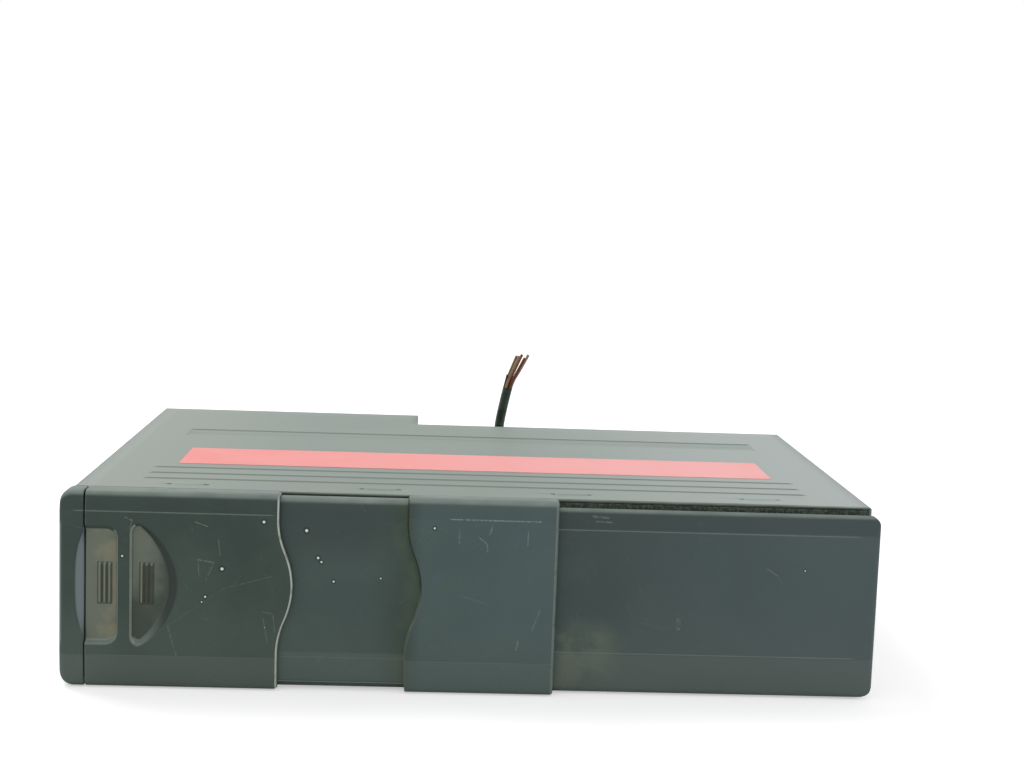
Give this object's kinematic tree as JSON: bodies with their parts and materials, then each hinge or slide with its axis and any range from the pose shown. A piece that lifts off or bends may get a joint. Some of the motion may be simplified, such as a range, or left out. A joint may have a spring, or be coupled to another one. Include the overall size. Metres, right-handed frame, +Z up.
{
  "type": "car cd changer",
  "caption": "Trunk-mounted disc changer: steel case with a stepped rear, moulded front with a two-stage sliding door, removable magazine of trays and rising play deck.",
  "frame": {"origin": "centre of the case's outer box on the surface it stands on, without the wiring stub", "axes": "+X to the right along the door's travel, +Y from the front to the rear, +Z up"},
  "size_m": [0.2634, 0.1874, 0.0945],
  "materials": {
    "case_steel": "zinc-plated sheet, dull",
    "front_plastic": "dark slate moulded plastic, scuffed",
    "button_plastic": "moulded plastic",
    "strip_red": "bare self-adhesive strip",
    "screw_steel": "zinc-plated",
    "frame_steel": "zinc-plated pressed sheet",
    "spring_steel": "spring steel",
    "bright_steel": "ground bar",
    "rubber_black": "soft rubber",
    "magazine_black": "fine-grained black moulding",
    "tray_plastic": "smooth black moulding",
    "disc_clear": "clear disc with a mirror coat",
    "mech_plastic": "black acetal",
    "lens_glass": "coated lens",
    "motor_can": "plated can",
    "board_green": "solder-masked laminate",
    "board_black": "moulded packages and cans",
    "socket_black": "black nylon",
    "sleeve_green": "dark flexible sleeve",
    "wire_mixed": "insulated wire in several colours"
  },
  "bodies": {
    "root": {"bottom_chassis": "case_steel", "top_cover": "case_steel", "red_strip": "strip_red", "cover_screws": "screw_steel", "fascia": "front_plastic", "side_panel": "front_plastic", "end_cap": "front_plastic", "fascia_screws": "screw_steel", "switch_board": "board_green", "mech_frame": "frame_steel", "frame_top": "frame_steel", "damper_pads": "rubber_black", "damper_posts": "frame_steel", "magazine_leaf": "spring_steel", "lever_pin": "bright_steel", "eject_spring": "spring_steel", "guide_post": "bright_steel", "lift_motor": "motor_can", "main_board": "board_green", "board_parts": "board_black", "board_screws": "screw_steel", "rear_socket": "socket_black", "harness_plug": "socket_black", "harness_sleeve": "sleeve_green", "harness_wires": "wire_mixed"},
    "follower_door": {"follower_door": "front_plastic"},
    "leading_door": {"leading_door": "front_plastic"},
    "eject_button": {"eject_button": "button_plastic"},
    "eject_lever": {"eject_lever": "frame_steel"},
    "magazine": {"magazine_shell": "magazine_black"},
    "tray_1": {"tray_1": "tray_plastic", "disc_1": "disc_clear"},
    "tray_2": {"tray_2": "tray_plastic", "disc_2": "disc_clear"},
    "tray_3": {"tray_3": "tray_plastic", "disc_3": "disc_clear"},
    "tray_4": {"tray_4": "tray_plastic", "disc_4": "disc_clear"},
    "tray_5": {"tray_5": "tray_plastic", "disc_5": "disc_clear"},
    "tray_6": {"tray_6": "tray_plastic", "disc_6": "disc_clear"},
    "deck": {"deck_plate": "frame_steel", "spindle_motor": "motor_can", "sled_rods": "bright_steel", "sled_motor": "motor_can"},
    "turntable": {"turntable": "mech_plastic"},
    "clamper": {"clamper": "mech_plastic"},
    "sled": {"pickup_sled": "mech_plastic", "pickup_lens": "lens_glass"},
    "sled_screw": {"sled_screw": "bright_steel"},
    "lift_screw": {"lift_screw": "mech_plastic"},
    "lift_pinion": {"lift_pinion": "mech_plastic"}
  },
  "joints": [
    {"name": "follower_door_slide", "type": "slide", "parent": "root", "child": "follower_door", "axis": [1, 0, 0], "range_m": [0, 0.102]},
    {"name": "leading_door_slide", "type": "slide", "parent": "follower_door", "child": "leading_door", "axis": [1, 0, 0], "range_m": [0, 0.0403]},
    {"name": "eject_button_press", "type": "slide", "parent": "root", "child": "eject_button", "axis": [0, 1, 0], "range_m": [0, 0.0012], "stiffness_N_per_m": 900, "springref_m": -0.0005},
    {"name": "magazine_slide", "type": "slide", "parent": "root", "child": "magazine", "axis": [0, -1, 0], "range_m": [0, 0.01]},
    {"name": "eject_lever_swing", "type": "hinge", "parent": "root", "child": "eject_lever", "pos_m": [-0.025, 0.0575, 0], "axis": [0, 0, 1], "range_deg": [0, 14.86]},
    {"name": "tray_1_slide", "type": "slide", "parent": "magazine", "child": "tray_1", "axis": [-1, 0, 0], "range_m": [-0.122, 0]},
    {"name": "tray_2_slide", "type": "slide", "parent": "magazine", "child": "tray_2", "axis": [-1, 0, 0], "range_m": [-0.122, 0]},
    {"name": "tray_3_slide", "type": "slide", "parent": "magazine", "child": "tray_3", "axis": [-1, 0, 0], "range_m": [-0.122, 0]},
    {"name": "tray_4_slide", "type": "slide", "parent": "magazine", "child": "tray_4", "axis": [-1, 0, 0], "range_m": [-0.122, 0]},
    {"name": "tray_5_slide", "type": "slide", "parent": "magazine", "child": "tray_5", "axis": [-1, 0, 0], "range_m": [-0.122, 0]},
    {"name": "tray_6_slide", "type": "slide", "parent": "magazine", "child": "tray_6", "axis": [-1, 0, 0], "range_m": [-0.122, 0]},
    {"name": "deck_lift", "type": "slide", "parent": "root", "child": "deck", "axis": [0, 0, 1], "range_m": [0, 0.0314]},
    {"name": "turntable_spin", "type": "hinge", "parent": "deck", "child": "turntable", "pos_m": [0.061, -0.0135, 0], "axis": [0, 0, 1], "continuous": true},
    {"name": "clamper_spin", "type": "hinge", "parent": "root", "child": "clamper", "pos_m": [0.061, -0.0135, 0], "axis": [0, 0, 1], "continuous": true},
    {"name": "sled_slide", "type": "slide", "parent": "deck", "child": "sled", "axis": [1, 0, 0], "range_m": [0, 0.032]},
    {"name": "sled_screw_turn", "type": "hinge", "parent": "deck", "child": "sled_screw", "pos_m": [0.09, 0.0145, 0.0109], "axis": [1, 0, 0], "range_deg": [0, 3845]},
    {"name": "lift_screw_turn", "type": "hinge", "parent": "root", "child": "lift_screw", "pos_m": [0.117, -0.0485, 0], "axis": [0, 0, 1], "range_deg": [0, 1418]},
    {"name": "lift_pinion_turn", "type": "hinge", "parent": "root", "child": "lift_pinion", "pos_m": [0.117, -0.0587, 0], "axis": [0, 0, 1], "range_deg": [-3302, 0]}
  ],
  "couplings": [
    {"joint": "eject_lever_swing", "follows": "magazine_slide", "rad_per_m": 25.587},
    {"joint": "sled_screw_turn", "follows": "sled_slide", "rad_per_m": 2094.4},
    {"joint": "lift_screw_turn", "follows": "deck_lift", "rad_per_m": 785.4},
    {"joint": "lift_pinion_turn", "follows": "deck_lift", "rad_per_m": -1832.6}
  ]
}
